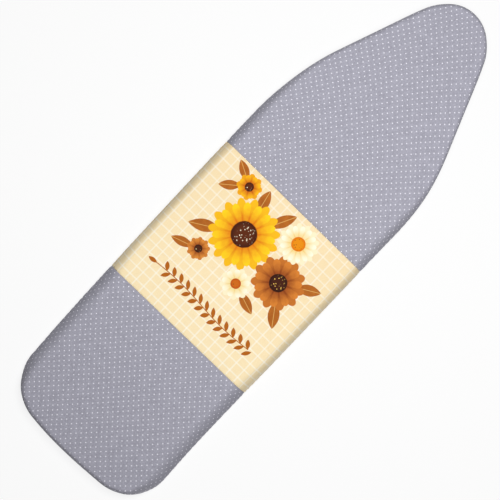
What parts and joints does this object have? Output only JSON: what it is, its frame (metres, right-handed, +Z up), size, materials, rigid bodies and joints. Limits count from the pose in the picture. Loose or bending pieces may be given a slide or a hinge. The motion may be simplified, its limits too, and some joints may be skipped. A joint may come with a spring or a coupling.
{
  "type": "ironing board cover",
  "caption": "Padded, elasticated ironing board cover with a round nose, dotted end panels, a checked middle panel and hook and loop straps underneath.",
  "frame": {"origin": "centre of the bounding box in X and Y, on the plane that the gathered hem stands on", "axes": "+X along the cover to its narrow nose, +Y across it, +Z up out of the ironing face"},
  "size_m": [1.22, 0.382, 0.0434],
  "materials": {
    "dotted_cloth": "woven cotton, grey with small white dots",
    "checked_cloth": "woven cotton, cream with a fine pale check and a printed flower design",
    "binding_tape": "twill tape",
    "padding_foam": "soft open-cell foam",
    "wool_felt": "pressed felt",
    "white_elastic": "flat knitted elastic",
    "strap_webbing": "woven elastic webbing",
    "fastener_tape": "hook and loop tape",
    "label_satin": "plain satin ribbon"
  },
  "bodies": {
    "cover": {"nose_panel": "dotted_cloth", "middle_panel": "checked_cloth", "tail_panel": "dotted_cloth", "front_seam_tape": "binding_tape", "rear_seam_tape": "binding_tape", "foam_layer": "padding_foam", "felt_layer": "wool_felt", "hem_casing": "dotted_cloth", "hem_elastic": "white_elastic", "care_label": "label_satin"},
    "front_hook_half": {"front_hook_strap": "strap_webbing", "front_hook_patch": "fastener_tape"},
    "front_loop_half": {"front_loop_strap": "strap_webbing", "front_loop_patch": "fastener_tape"},
    "middle_hook_half": {"middle_hook_strap": "strap_webbing", "middle_hook_patch": "fastener_tape"},
    "middle_loop_half": {"middle_loop_strap": "strap_webbing", "middle_loop_patch": "fastener_tape"},
    "rear_hook_half": {"rear_hook_strap": "strap_webbing", "rear_hook_patch": "fastener_tape"},
    "rear_loop_half": {"rear_loop_strap": "strap_webbing", "rear_loop_patch": "fastener_tape"}
  },
  "joints": [
    {"name": "front_hook_swing", "type": "hinge", "parent": "cover", "child": "front_hook_half", "pos_m": [0.12, -0.13323, 0.0033], "axis": [-1, 0, 0], "range_deg": [0, 90]},
    {"name": "front_loop_swing", "type": "hinge", "parent": "cover", "child": "front_loop_half", "pos_m": [0.12, 0.13323, 0.0077], "axis": [1, 0, 0], "range_deg": [0, 45]},
    {"name": "middle_hook_swing", "type": "hinge", "parent": "cover", "child": "middle_hook_half", "pos_m": [-0.12, -0.13224, 0.0033], "axis": [-1, 0, 0], "range_deg": [0, 90]},
    {"name": "middle_loop_swing", "type": "hinge", "parent": "cover", "child": "middle_loop_half", "pos_m": [-0.12, 0.13224, 0.0077], "axis": [1, 0, 0], "range_deg": [0, 45]},
    {"name": "rear_hook_swing", "type": "hinge", "parent": "cover", "child": "rear_hook_half", "pos_m": [-0.36, -0.12994, 0.0033], "axis": [-1, 0, 0], "range_deg": [0, 90]},
    {"name": "rear_loop_swing", "type": "hinge", "parent": "cover", "child": "rear_loop_half", "pos_m": [-0.36, 0.12994, 0.0077], "axis": [1, 0, 0], "range_deg": [0, 45]}
  ],
  "couplings": [
    {"joint": "front_loop_swing", "follows": "front_hook_swing", "ratio": 0.5},
    {"joint": "middle_loop_swing", "follows": "middle_hook_swing", "ratio": 0.5},
    {"joint": "rear_loop_swing", "follows": "rear_hook_swing", "ratio": 0.5}
  ]
}
